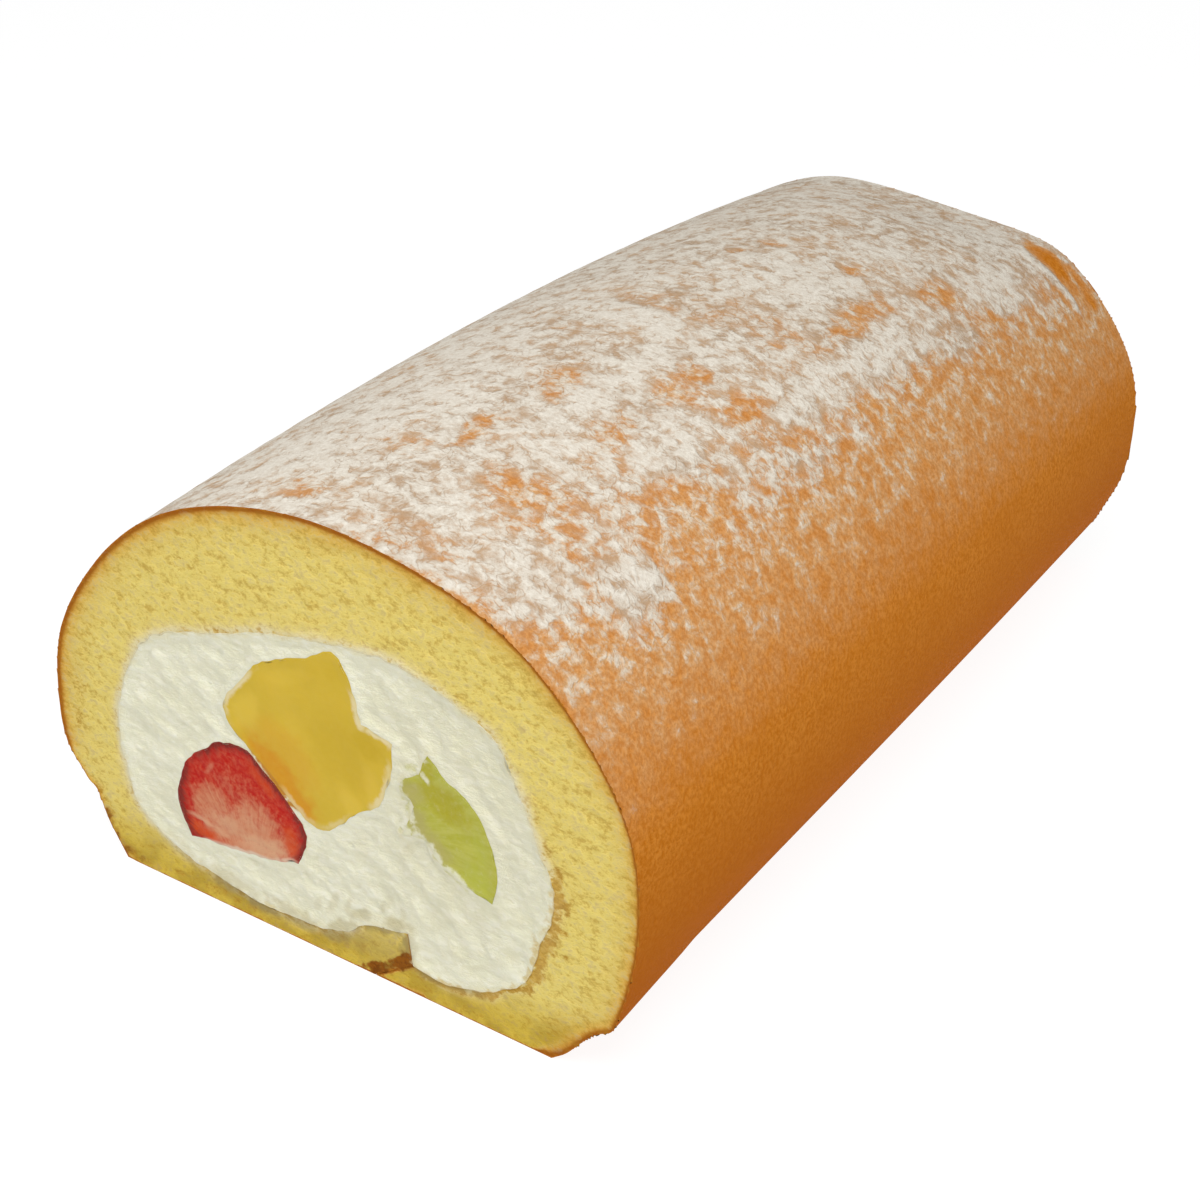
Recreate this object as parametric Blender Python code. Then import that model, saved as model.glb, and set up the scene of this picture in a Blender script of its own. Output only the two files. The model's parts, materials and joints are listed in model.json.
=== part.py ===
"""A fruit roll cake: one sponge sheet rolled round whipped cream, with fruit running through it.

Metres, +Z up. The roll lies along Y on its flattened base, with its front cut face towards -Y.
Each piece is an outline of that face, carried along the roll's length.
"""

import math

import bmesh
import bpy
from mathutils import Vector

MM = 0.001

# Driving dimensions.
ROLL_LENGTH = 164 * MM
ROLL_HEIGHT = 69.2 * MM
GAP = 0.3 * MM
SEAM_WIDTH = 0.35 * MM
SPLINE_STEPS = 3
MITRE_LIMIT = 2.0
SHARP_ANGLE = math.radians(35.0)
STATIONS = (0.0, 0.12, 0.25, 0.38, 0.5, 0.62, 0.74, 0.85, 0.93, 1.0)
POCKET_OVERRUN = 0.02

# How the section changes from the front cut to the back one.
BACK_WIDENING = 0.006
BACK_LOWERING = 0.047
BELLY_WIDTH = 0.03
BELLY_HEIGHT = 0.062
BELLY_SHIFT = 0.4 * MM
BACK_SHIFT = -1.1 * MM
FLANK_START = 25 * MM
TUCK_DEPTH = 1.2 * MM
TUCK_HEIGHT = 9 * MM
TUCK_HALF_HEIGHT = 9 * MM
TUCK_START = 30 * MM
TUCK_RUN = 15 * MM
TUCK_FULL_AT = 0.15
PRESSED_DEPTH = 3.2 * MM
PRESSED_MIDDLE = 9.8 * MM
PRESSED_HALF_WIDTH = 21.6 * MM
PRESSED_FROM = 0.8
CROWN_START = 25 * MM

# Outlines of the front cut face: (x, z) in millimetres, counter-clockwise from the front.
# Each stretch is a smooth curve, and two stretches meet at a corner.
ROLL_FOOT_RIGHT = (36.6, 0.0)
ROLL_FOOT_LEFT = (-39.9, 0.0)
ROLL_STRETCHES = (
    (ROLL_FOOT_RIGHT, (39.6, 2.3), (43.2, 6.8), (46.4, 8.9)),
    ((46.4, 8.9), (48.3, 15.6), (50.0, 26.8), (48.6, 41.2), (40.2, 54.7), (26.8, 64.6), (3.2, 69.2),
     (-16.8, 65.6), (-30.5, 58.2), (-41.3, 47.0), (-48.2, 35.2), (-50.1, 22.5), (-49.6, 16.6)),
    ((-49.6, 16.6), (-46.6, 12.0), (-44.6, 10.4)),
    ((-44.6, 10.4), (-43.0, 5.0), ROLL_FOOT_LEFT),
)
SEAM_FOOT = (7.2, 0.0)
SEAM_HEAD = (13.7, 4.6)
CREAM_STRETCHES = (
    ((14.2, 4.9), (20.0, 4.5), (27.0, 7.0), (32.2, 10.8), (34.2, 17.4), (36.7, 24.5), (35.0, 32.0),
     (32.2, 39.6), (27.5, 47.0), (19.5, 50.4), (11.5, 52.2), (2.8, 51.2), (-5.5, 49.7), (-19.0, 45.5),
     (-29.0, 41.6), (-35.0, 33.4), (-37.4, 24.0), (-36.2, 12.8), (-31.5, 8.0), (-23.0, 5.0),
     (-13.0, 3.6), (-3.0, 4.3), (2.0, 5.6), (5.4, 8.4), (13.6, 10.2)),
    ((13.6, 10.2), (14.2, 4.9)),
)
STRAWBERRY_STRETCHES = (
    ((-25.8, 10.1), (-15.0, 11.7), (-5.7, 13.6)),
    ((-5.7, 13.6), (-4.0, 19.0), (-6.6, 23.4), (-10.9, 26.8), (-13.3, 28.8), (-18.0, 28.5), (-21.3, 26.0)),
    ((-21.3, 26.0), (-25.2, 22.3), (-27.4, 15.5), (-25.8, 10.1)),
)
MANGO_STRETCHES = (
    ((-3.4, 22.2), (-0.6, 21.4), (2.6, 23.8), (5.2, 26.8), (9.2, 29.4), (11.4, 34.6), (12.0, 39.9)),
    ((12.0, 39.9), (7.0, 41.0)),
    ((7.0, 41.0), (5.8, 47.0), (3.3, 50.2), (-1.0, 48.0), (-8.6, 44.7), (-13.6, 39.8), (-16.4, 35.0),
     (-13.9, 31.0), (-10.2, 28.2), (-6.0, 24.8), (-3.4, 22.2)),
)
KIWI_STRETCHES = (
    ((27.6, 21.4), (28.0, 27.4), (25.0, 34.8), (21.0, 37.6), (18.0, 40.2)),
    ((18.0, 40.2), (16.6, 36.9), (13.6, 34.6), (15.9, 31.6), (13.2, 26.4)),
    ((13.2, 26.4), (17.2, 27.8), (20.4, 23.7), (27.6, 21.4)),
)

# How each fruit differs at the back cut: turn in degrees, size, and shift in millimetres.
STRAWBERRY_DRIFT = (-14.0, 0.95, (-1.0, 0.4))
MANGO_DRIFT = (8.0, 0.96, (0.6, 0.2))
KIWI_DRIFT = (-12.0, 1.0, (0.6, -0.8))


def clear_scene():
    for item in list(bpy.data.objects):
        bpy.data.objects.remove(item, do_unlink=True)


def material(name, colour, roughness, subsurface=0.0):
    """A Principled BSDF material of one colour."""
    finish = bpy.data.materials.new(name)
    finish.use_nodes = True
    shader = finish.node_tree.nodes["Principled BSDF"]
    shader.inputs["Base Color"].default_value = (*colour, 1.0)
    shader.inputs["Roughness"].default_value = roughness
    shader.inputs["Metallic"].default_value = 0.0
    shader.inputs["Subsurface Weight"].default_value = subsurface
    finish.diffuse_color = (*colour, 1.0)
    return finish


def smooth_stretch(points):
    """Points along the Catmull-Rom curve through one stretch, without its last point."""
    ends = [points[0] * 2 - points[1]] + points + [points[-1] * 2 - points[-2]]
    curve = []
    for before, start, end, after in zip(ends, ends[1:], ends[2:], ends[3:]):
        for step in range(SPLINE_STEPS):
            s = step / SPLINE_STEPS
            bend = before * (-s + 2 * s**2 - s**3) + start * (2 - 5 * s**2 + 3 * s**3)
            bend += end * (s + 4 * s**2 - 3 * s**3) + after * (s**3 - s**2)
            curve.append(bend / 2)
    return curve


def outline(stretches):
    """One closed outline in metres, as 2-D vectors of x and z."""
    points = []
    for stretch in stretches:
        vectors = [Vector(point) * MM for point in stretch]
        points += vectors[:1] if len(vectors) == 2 else smooth_stretch(vectors)
    return points


def grown(points, distance):
    """The outline moved outwards by a distance, with its sharpest corners held back."""
    moved = []
    for before, here, after in zip([points[-1]] + points[:-1], points, points[1:] + points[:1]):
        along_in = (here - before).normalized()
        along_out = (after - here).normalized()
        normal_in = Vector((along_in.y, -along_in.x))
        normal_out = Vector((along_out.y, -along_out.x))
        bisector = (normal_in + normal_out).normalized()
        mitre = 1.0 / max(bisector.dot(normal_in), 1.0 / MITRE_LIMIT)
        moved.append(here + bisector * distance * mitre)
    return moved


def ease(value):
    """0 to 1 with a gentle start and end."""
    value = min(1.0, max(0.0, value))
    return value * value * (3.0 - 2.0 * value)


def place(point, t):
    """Carry a point of the front cut face to the fraction t of the roll's length."""
    x, z = point
    belly = 4.0 * t * (1.0 - t)
    flank = ease(z / FLANK_START)
    corner = max(0.0, 1.0 - ((z - TUCK_HEIGHT) / TUCK_HALF_HEIGHT) ** 2) * ease((x - TUCK_START) / TUCK_RUN)
    tucked = TUCK_DEPTH * ease(t / TUCK_FULL_AT) * corner
    crown = ease((z - CROWN_START) / (ROLL_HEIGHT - CROWN_START))
    across = max(0.0, 1.0 - ((x - PRESSED_MIDDLE) / PRESSED_HALF_WIDTH) ** 2)
    pressed = PRESSED_DEPTH * ease((t - PRESSED_FROM) / (1.0 - PRESSED_FROM)) * across * crown
    wide = x * (1.0 + BACK_WIDENING * t + BELLY_WIDTH * belly * flank) - tucked
    high = z * (1.0 - BACK_LOWERING * t + BELLY_HEIGHT * belly)
    along = ROLL_LENGTH * (t - 0.5)
    return Vector((wide + BACK_SHIFT * t + BELLY_SHIFT * belly, along, high - pressed))


def drifted(points, drift, t):
    """A fruit's outline turned, sized and shifted about its middle, in full at the back cut."""
    degrees, size, shift = drift
    middle = sum(points, Vector((0.0, 0.0))) / len(points)
    angle = math.radians(degrees) * t
    cosine = math.cos(angle) * (1.0 + (size - 1.0) * t)
    sine = math.sin(angle) * (1.0 + (size - 1.0) * t)
    moved = []
    for point in points:
        arm = point - middle
        turned = Vector((arm.x * cosine - arm.y * sine, arm.x * sine + arm.y * cosine))
        moved.append(middle + turned + Vector(shift) * MM * t)
    return moved


def loft(name, points, finish, drift=(0.0, 1.0, (0.0, 0.0)), stations=STATIONS):
    """Extrude an outline from cut to cut, fitting it to the roll's section at each station."""
    shape = bmesh.new()
    front = [shape.verts.new(place(point, stations[0])) for point in drifted(points, drift, stations[0])]
    front_cap = shape.faces.new(front)
    cap = front_cap
    for t in stations[1:]:
        extruded = bmesh.ops.extrude_face_region(shape, geom=[cap])["geom"]
        if cap is not front_cap:
            bmesh.ops.delete(shape, geom=[cap], context="FACES_ONLY")
        cap = next(item for item in extruded if isinstance(item, bmesh.types.BMFace))
        for vertex, point in zip(cap.verts, drifted(points, drift, t)):
            vertex.co = place(point, t)
    bmesh.ops.recalc_face_normals(shape, faces=shape.faces)
    mesh = bpy.data.meshes.new(name)
    shape.to_mesh(mesh)
    shape.free()
    mesh.shade_smooth()
    mesh.set_sharp_from_angle(angle=SHARP_ANGLE)
    mesh.materials.append(finish)
    piece = bpy.data.objects.new(name, mesh)
    bpy.context.scene.collection.objects.link(piece)
    return piece


def make_sponge(finish):
    """The rolled sheet: a C round the cream, closed at the base by an overlapping seam."""
    foot = Vector(SEAM_FOOT) * MM
    head = Vector(SEAM_HEAD) * MM
    along = (head - foot).normalized()
    half_width = Vector((along.y, -along.x)) * SEAM_WIDTH / 2
    outer = outline(ROLL_STRETCHES) + [Vector(ROLL_FOOT_LEFT) * MM]
    inner = grown(outline(CREAM_STRETCHES), GAP)[1:]
    seam_left = [Vector((foot.x - SEAM_WIDTH, 0.0)), head - half_width]
    seam_right = [head + half_width, Vector((foot.x + SEAM_WIDTH, 0.0))]
    return loft("sponge", outer + seam_left + inner[::-1] + seam_right, finish)


def cut_pocket(body, name, points, drift):
    """Cut a fruit's space through the cream, a gap wider than the fruit all round."""
    stations = (-POCKET_OVERRUN,) + STATIONS[1:-1] + (1.0 + POCKET_OVERRUN,)
    pocket = loft(name + "_pocket", grown(points, GAP), body.data.materials[0], drift, stations)
    pocket.hide_render = True
    pocket.display_type = "WIRE"
    cut = body.modifiers.new(name + "_pocket", "BOOLEAN")
    cut.operation = "DIFFERENCE"
    cut.object = pocket


def make_filling(cream_finish, fruits):
    """The cream, and each fruit in a pocket of its own."""
    cream = loft("cream", outline(CREAM_STRETCHES), cream_finish)
    for name, stretches, drift, finish in fruits:
        points = outline(stretches)
        loft(name, points, finish, drift)
        cut_pocket(cream, name, points, drift)


def centre_on_base():
    """Put the origin at the middle of the footprint."""
    corners = [Vector(corner) for item in bpy.data.objects for corner in item.bound_box
               if not item.hide_render]
    middle_x = (min(corner.x for corner in corners) + max(corner.x for corner in corners)) / 2
    for item in bpy.data.objects:
        item.location.x = -middle_x


clear_scene()
strawberry_finish = material("strawberry", (0.52, 0.06, 0.03), 0.35)
mango_finish = material("mango", (0.64, 0.40, 0.04), 0.3)
kiwi_finish = material("kiwi", (0.44, 0.43, 0.08), 0.3)
make_sponge(material("sponge", (0.67, 0.52, 0.15), 0.85))
make_filling(
    material("cream", (0.80, 0.77, 0.62), 0.6, 0.1),
    (
        ("strawberry", STRAWBERRY_STRETCHES, STRAWBERRY_DRIFT, strawberry_finish),
        ("mango", MANGO_STRETCHES, MANGO_DRIFT, mango_finish),
        ("kiwi", KIWI_STRETCHES, KIWI_DRIFT, kiwi_finish),
    ),
)
centre_on_base()
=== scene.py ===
"""The looks of a fruit roll cake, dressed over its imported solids.

A sponge sheet with a baked skin and a dusting of powdered sugar, rolled round whipped cream,
strawberry, mango and kiwi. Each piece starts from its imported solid, is refined, trimmed square at
both ends by a finely gridded block, and then gets its relief. Metres, +Z up, the roll along Y.
"""

import json
import math

import bmesh
import bpy
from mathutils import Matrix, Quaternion, Vector, noise
from mathutils.bvhtree import BVHTree

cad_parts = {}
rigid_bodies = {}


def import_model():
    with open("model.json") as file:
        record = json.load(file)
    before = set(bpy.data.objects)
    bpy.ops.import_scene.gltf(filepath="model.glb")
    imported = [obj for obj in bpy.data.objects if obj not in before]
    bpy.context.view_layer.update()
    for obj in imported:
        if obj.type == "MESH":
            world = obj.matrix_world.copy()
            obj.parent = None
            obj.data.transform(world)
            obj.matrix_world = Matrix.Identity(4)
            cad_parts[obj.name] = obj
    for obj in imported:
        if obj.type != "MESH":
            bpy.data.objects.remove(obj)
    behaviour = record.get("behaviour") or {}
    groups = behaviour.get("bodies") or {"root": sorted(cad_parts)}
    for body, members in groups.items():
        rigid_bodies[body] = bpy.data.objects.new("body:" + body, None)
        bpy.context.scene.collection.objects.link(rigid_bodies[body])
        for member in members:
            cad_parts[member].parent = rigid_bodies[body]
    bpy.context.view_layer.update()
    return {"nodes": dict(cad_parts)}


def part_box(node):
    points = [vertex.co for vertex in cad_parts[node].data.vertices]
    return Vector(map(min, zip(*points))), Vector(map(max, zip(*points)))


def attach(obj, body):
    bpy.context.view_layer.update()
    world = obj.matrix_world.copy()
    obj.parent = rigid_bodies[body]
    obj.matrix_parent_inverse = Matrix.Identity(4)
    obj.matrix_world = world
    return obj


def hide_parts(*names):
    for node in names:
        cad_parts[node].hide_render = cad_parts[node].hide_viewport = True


MM = 0.001

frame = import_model()
ROLL_LOW, ROLL_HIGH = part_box("sponge")
FRONT = ROLL_LOW.y
BACK = ROLL_HIGH.y
ROLL_LENGTH = BACK - FRONT
ROLL_TOP = ROLL_HIGH.z
ROLL_AXIS_HEIGHT = 0.49 * ROLL_TOP

# The noise that the edges wander by is the same in every run.
EDGE_SEED = 11
noise.seed_set(EDGE_SEED)

# Mesh fineness.
WELD = 0.001 * MM
RING_STEP = 3.28 * MM
SKIN_CUTS = 3
SKIN_SMOOTHING = 30
CRUMB_CELL = 0.44 * MM
CREAM_CELL = 0.3 * MM
FRUIT_CELL = 0.3 * MM
OVERRUN = 1 * MM
END_BAND = 0.5 * MM
WALL_TILT = 0.7
SHARP_EDGE = 60

# Where the sheet's two ends meet under the cream.
SEAM_MIDDLE = 10.2 * MM
SEAM_REACH = 6 * MM
SEAM_TOP = 5 * MM
LAP_TOP = 11 * MM
LAP_HEAD = Vector((12.5 * MM, 0.0, 8 * MM))
SEAM_FACING = Vector((0.578, 0.0, -0.816))
SEAM_CLOSING = 0.27 * MM

# The browned layer's thickness, in millimetres, on the flank, the base, the seam and the lap; it
# is thinner on the right, thicker low down there, and thinner under the ledge on the left.
CRUST = 0.95
CRUST_BASE = 0.14
CRUST_SEAM = 0.3
CRUST_LAP = 0.12
CRUST_LESS_RIGHT = 0.28
CRUST_MORE_LOW_RIGHT = 0.35
CRUST_LESS_UNDER_LEDGE = 0.72

# Powdered sugar falls from the upper left; thin dust, the veil, reaches further down the flanks and is partly
# painted light.
SUGAR_FALL = Vector((-0.42, 0.0, 0.91))
SUGAR_BARE_BELOW = 0.26
SUGAR_UNDERNEATH = -1.2
SUGAR_EASE = 0.75
SUGAR_MOST = 0.87
VEIL_FROM = -0.6
VEIL_AT_BACK = 0.1
VEIL_FULL = 0.42
VEIL_MOST = 0.62
VEIL_EASE = 0.8
VEIL_UNDER_LEDGE = 0.3
SUGAR_WIDE_PATCHES = 0.14
SUGAR_FINE_PATCHES = 0.2
SUGAR_RAGGED = 0.45
SUGAR_KNOCKED_OFF = 0.9
SUGAR_DEPTH = 0.22 * MM
SKIN_INSET = 0.25 * MM

# The filling swells into the clearances between the solids. Should the swollen cream not trim
# whole, its pockets are swollen less.
CREAM_SWELL = 0.45 * MM
POCKET_SWELL = 0.15 * MM
POCKET_SWELL_AGAIN = 0.08 * MM
WHOLE_SHARE = 0.95
FRUIT_SWELL = 0.36 * MM

# How the edges inside the cuts wander: the size of the waves and their reach, in millimetres.
EDGE_WAVES = ((5.0, 0.4), (1.6, 0.26))

# Relief below the clean cut, in millimetres: where two pieces meet, then the crumb's and the cream's.
EDGE_DEPTH = 0.14
CRUMB_DEPTH, CRUMB_WIDE, CRUMB_FINE, CRUMB_CRAGS = 0.24, 0.1, 0.18, 0.25
CREAM_DEPTH, CREAM_WIDE, CREAM_STROKES, CREAM_FINE, CREAM_FLUFF = 0.6, 0.3, 0.34, 0.13, 0.18
DEEPEST_STROKE = 1.3 * MM

# Dabs are soft ovals: two places, two half widths (all in millimetres), a lean in degrees and a
# strength. The sugar's are laid out on the top, by x and by the distance from the front cut.
SUGAR_DRIFTS = (
    (31.5, 136, 4, 9.5, 0, 0.55), (32, 97, 3, 11, 0, 0.55), (31, 78, 2.8, 12, 5, 0.5),
    (13.5, 100, 8, 10, -20, 0.3), (6, 70.5, 13, 4, -8, 0.35), (13, 53, 3.5, 11, 0, 0.32),
    (26, 46, 3.5, 7, 0, 0.4), (36, 20, 4, 6, 0, 0.45), (29, 10, 6, 5, 0, 0.3),
    (-6, 31, 10, 9, 0, 0.2), (-11, 16, 9, 7, 0, 0.2), (22, 149, 8, 7, 0, 0.3),
    (34, 153.5, 6, 1.2, 4, 0.6), (18, 127, 5, 6, 0, 0.2), (-16, 60, 8, 14, 0, 0.12),
    (16, 31, 3, 6, 0, 0.25), (37, 60, 2.5, 7, 0, 0.25), (34, 52, 6, 14, 0, 0.12), (36, 112, 2.5, 5, 0, 0.2))
SUGAR_THIN = (
    (29, 120, 2.5, 5, 0, 0.3), (25, 101, 3.2, 10, 8, 0.35), (17.5, 112, 2, 2.5, 0, 0.5),
    (1, 106, 2.2, 10, -25, 0.4), (1.5, 77, 8, 6, 0, 0.25), (14, 82, 14, 5, 0, 0.2),
    (27, 62, 3.3, 5.5, 0, 0.35), (18.5, 58.5, 5, 6, 0, 0.3), (-5, 62, 2, 2.5, 0, 0.35),
    (7, 47, 3.5, 5.5, 15, 0.38), (5, 31, 2.2, 5.5, 10, 0.38), (32.5, 36, 4.5, 9, 0, 0.15),
    (18, 42, 4, 5, 0, 0.2), (17, 22, 5, 4, 0, 0.25), (0, 21, 4, 4, 0, 0.25), (-5, 6, 4, 3, 0, 0.3),
    (31.5, 158.4, 5.5, 2.6, -6, 1.4), (39.5, 160.6, 5, 1.3, -8, 1.1))

# The rest are laid out on the cut, by x and z.
DARK_DABS = (
    (7.7, 0.9, 1.7, 0.9, 25, 1.25), (9.9, 2.5, 2, 0.95, 38, 0.95), (12.4, 4.6, 1.6, 1.1, 42, 1.25),
    (13.3, 5.9, 0.7, 1.2, 70, 0.9), (-43, 6.6, 0.7, 1.1, 10, 0.85), (-42.3, 4.8, 0.5, 0.7, 15, 0.6),
    (-41.3, 2.8, 0.55, 0.8, 20, 0.7), (-44.7, 10.4, 0.9, 0.4, -40, 0.6), (-39.6, 1, 1, 0.7, 0, 0.85),
    (-46.6, 12.6, 0.9, 0.35, -40, 0.45), (-37, 0.6, 0.9, 0.5, 0, 0.5))
BROWNED_DABS = (
    (34, 12, 1.2, 2.4, -22, 0.85), (35, 16.2, 1.4, 2.6, -14, 0.95), (36.2, 18.6, 1.2, 1.8, -20, 0.8),
    (37, 22, 1.2, 2.4, -14, 0.75), (37.7, 26, 1.3, 2.6, -4, 0.95), (37.8, 29.6, 1, 1.6, 6, 0.7),
    (39.4, 24.5, 0.4, 0.6, 0, 0.6), (38.9, 21.6, 0.4, 0.5, 0, 0.55), (39.9, 27.2, 0.35, 0.5, 0, 0.5),
    (38.6, 17.6, 0.4, 0.5, 0, 0.5), (36.4, 33.5, 0.6, 1.6, 20, 0.4), (35.4, 37, 0.5, 1.2, 25, 0.4),
    (16, 4.2, 2.6, 0.6, 0, 0.7), (20, 4.1, 3, 0.7, 4, 0.95), (26.5, 5.8, 3.2, 0.75, 24, 0.9),
    (30.7, 8.6, 1.9, 0.7, 35, 0.8), (-43, 6.5, 1.1, 2.2, 10, 0.5), (-39.6, 1.2, 1.6, 1.2, 0, 0.6),
    (-44.2, 10.6, 1.1, 0.9, -40, 0.5), (-41.4, 3.4, 0.8, 1.2, 20, 0.5), (-46.6, 13.2, 1.2, 0.6, -50, 0.4),
    (-15, 47.4, 2.6, 0.5, 12, 0.5), (-5.5, 50.2, 2.8, 0.5, 10, 0.45), (-10, 48.8, 1.2, 0.4, 12, 0.35),
    (27.5, 47.4, 1.8, 0.7, -30, 0.4), (-22.5, 44.9, 2, 0.5, 15, 0.45), (1.5, 5.4, 2.2, 0.8, 30, 0.35),
    (-35, 0.8, 3, 0.5, 0, 0.4), (4.6, 7, 0.7, 1.2, -35, 0.4), (-44.6, 29, 1.2, 3, 0, 0.28),
    (-46.4, 22, 0.9, 2.4, 0, 0.3), (-21.5, 55.5, 2, 1, 20, 0.22),
    (-24, 4.9, 4, 0.5, -16, 0.5), (-13, 3.3, 7, 0.5, -2, 0.55), (-3, 3.6, 3, 0.45, 6, 0.5),
    (-40.6, 2.2, 1, 1.8, 30, 0.55), (-22, 1.6, 9, 0.5, 0, 0.3))
CRUMB_SHADE_DABS = (
    (-19, 3.4, 3.6, 1, -6, 0.8), (-13.5, 2.7, 3.6, 1.1, 0, 1), (-6, 2.9, 3.4, 1, 0, 0.7),
    (0, 3.4, 3, 1.2, 16, 0.75), (8.6, 8.9, 4.6, 1.3, 8, 0.85), (4.2, 7.6, 1, 1.8, -35, 0.8),
    (-28, 5.4, 2.6, 0.5, -25, 0.4), (13.2, 8, 0.7, 2.6, -4, 0.9), (12.2, 6.8, 0.9, 1.1, 0, 0.6),
    (8, 5.2, 5, 3, 12, 0.38), (16.6, 4, 2.2, 0.7, 0, 0.8), (22, 4.4, 3.4, 0.7, 8, 0.6))
SMEAR_DABS = (
    (4.6, 8.2, 1.4, 0.8, 40, 0.9), (8.4, 9.2, 3.8, 1, 8, 0.45), (12.2, 9.2, 1.7, 1.2, 0, 0.4),
    (3.4, 6.6, 1.3, 0.7, 45, 0.8), (0.4, 4.8, 1.4, 0.6, 20, 0.8), (-25, 5.6, 2, 0.5, -20, 0.5),
    (24, 4.9, 2, 0.4, 10, 0.4), (33.2, 14.8, 0.5, 1, 0, 0.5), (13.9, 5.6, 0.4, 0.9, 20, 0.8))


# ---------------------------------------------------- modelling by hand

def only(piece):
    """Select one piece alone."""
    bpy.ops.object.select_all(action="DESELECT")
    piece.select_set(True)
    bpy.context.view_layer.objects.active = piece


def edit(piece, mode):
    """Open a piece in edit mode, selecting by VERT, EDGE or FACE."""
    only(piece)
    bpy.ops.object.mode_set(mode="EDIT")
    bpy.ops.mesh.select_mode(type=mode)


def done():
    """Back to object mode."""
    bpy.ops.object.mode_set(mode="OBJECT")


def select(action):
    """Select, deselect or invert all of an open piece."""
    bpy.ops.mesh.select_all(action=action)


def select_faces(piece, test):
    """Select the faces whose centre and normal pass a test."""
    select("DESELECT")
    shape = bmesh.from_edit_mesh(piece.data)
    for face in shape.faces:
        face.select_set(test(face.calc_center_median(), face.normal))
    bmesh.update_edit_mesh(piece.data)


def select_edges(piece, test):
    """Select the edges of which both ends pass a test."""
    select("DESELECT")
    shape = bmesh.from_edit_mesh(piece.data)
    for edge in shape.edges:
        edge.select_set(all(test(vertex.co) for vertex in edge.verts))
    bmesh.update_edit_mesh(piece.data)


def apply(piece, kind, **settings):
    """Add a modifier and apply it."""
    only(piece)
    modifier = piece.modifiers.new(kind.title(), kind)
    for name, value in settings.items():
        setattr(modifier, name, value)
    bpy.ops.object.modifier_apply(modifier=modifier.name)


def start_from(node, name):
    """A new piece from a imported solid: welded, back to quads, open at both cuts and a little longer."""
    piece = bpy.data.objects.new(name, frame["nodes"][node].data.copy())
    bpy.context.scene.collection.objects.link(piece)
    piece.data.materials.clear()
    only(piece)
    bpy.ops.mesh.customdata_custom_splitnormals_clear()
    edit(piece, "FACE")
    select("SELECT")
    bpy.ops.mesh.remove_doubles(threshold=WELD)
    bpy.ops.mesh.tris_convert_to_quads(face_threshold=math.radians(40), shape_threshold=math.radians(60))
    select_faces(piece, is_cut)
    bpy.ops.mesh.delete(type="FACE")
    bpy.ops.mesh.select_mode(type="EDGE")
    for end, way in ((FRONT, -1), (BACK, 1)):
        select_edges(piece, lambda place: abs(place.y - end) < WELD)
        bpy.ops.transform.translate(value=(0, way * OVERRUN, 0))
    done()
    return piece


def is_cut(centre, normal):
    """True on the two cut faces."""
    return abs(normal.y) > 0.9 and min(abs(centre.y - FRONT), abs(centre.y - BACK)) < WELD


def is_wall(centre, normal):
    """True off the two cut faces."""
    return abs(normal.y) < WALL_TILT


def points_of(piece, test):
    """The points of the faces whose centre and normal pass a test."""
    points = set()
    for face in piece.data.polygons:
        if test(face.center, face.normal):
            points.update(face.vertices)
    return points


def close_ends(piece):
    """Cap both open ends, round any pockets."""
    edit(piece, "EDGE")
    for end in (FRONT - OVERRUN, BACK + OVERRUN):
        select_edges(piece, lambda place: abs(place.y - end) < END_BAND)
        bpy.ops.mesh.fill()
    select("SELECT")
    bpy.ops.mesh.normals_make_consistent(inside=False)
    done()


def cut_into_rings(piece, step):
    """Even rings along the roll."""
    edit(piece, "FACE")
    count = round(ROLL_LENGTH / step)
    for ring in range(1, count):
        select("SELECT")
        place = FRONT + ROLL_LENGTH * ring / count
        bpy.ops.mesh.bisect(plane_co=(0, place, 0), plane_no=(0, 1, 0))
    done()


def trim_square(piece, cell):
    """Trim both ends with a block whose end faces are a fine grid, which the cuts then have."""
    close_ends(piece)
    corners = [Vector(corner) for corner in piece.bound_box]
    low = Vector(map(min, *corners)) - Vector((1, 1, 1)) * OVERRUN
    high = Vector(map(max, *corners)) + Vector((1, 1, 1)) * OVERRUN
    middle = (low + high) / 2
    size = high - low
    bpy.ops.object.select_all(action="DESELECT")
    bpy.ops.mesh.primitive_grid_add(
        x_subdivisions=round(size.x / cell), y_subdivisions=round(size.z / cell), size=1.0,
        location=(middle.x, FRONT, middle.z), rotation=(math.radians(90), 0, 0))
    block = bpy.context.active_object
    block.scale = (size.x, size.z, 1.0)
    bpy.ops.object.transform_apply(location=True, rotation=True, scale=True)
    edit(block, "FACE")
    select("SELECT")
    bpy.ops.mesh.extrude_region_move(TRANSFORM_OT_translate={"value": (0, ROLL_LENGTH, 0)})
    select("SELECT")
    bpy.ops.mesh.normals_make_consistent(inside=False)
    done()
    apply(piece, "BOOLEAN", operation="INTERSECT", solver="EXACT", object=block)
    bpy.data.objects.remove(block, do_unlink=True)


def near_surface(piece, test):
    """A search tree of the faces whose centre and normal pass a test."""
    points = [point.co for point in piece.data.vertices]
    faces = [face.vertices[:] for face in piece.data.polygons if test(face.center, face.normal)]
    return BVHTree.FromPolygons(points, faces)


def store(piece, name, values):
    """Keep one number a point on the mesh, for the materials."""
    attribute = piece.data.attributes.new(name, "FLOAT", "POINT")
    attribute.data.foreach_set("value", values)


def depth_from(piece, name, test, swell=0.0):
    """Store how deep each point lies under the faces that pass a test, in millimetres."""
    tree = near_surface(piece, test)
    depths = [(tree.find_nearest(point.co)[3] - swell) / MM for point in piece.data.vertices]
    store(piece, name, depths)
    return depths


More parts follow.
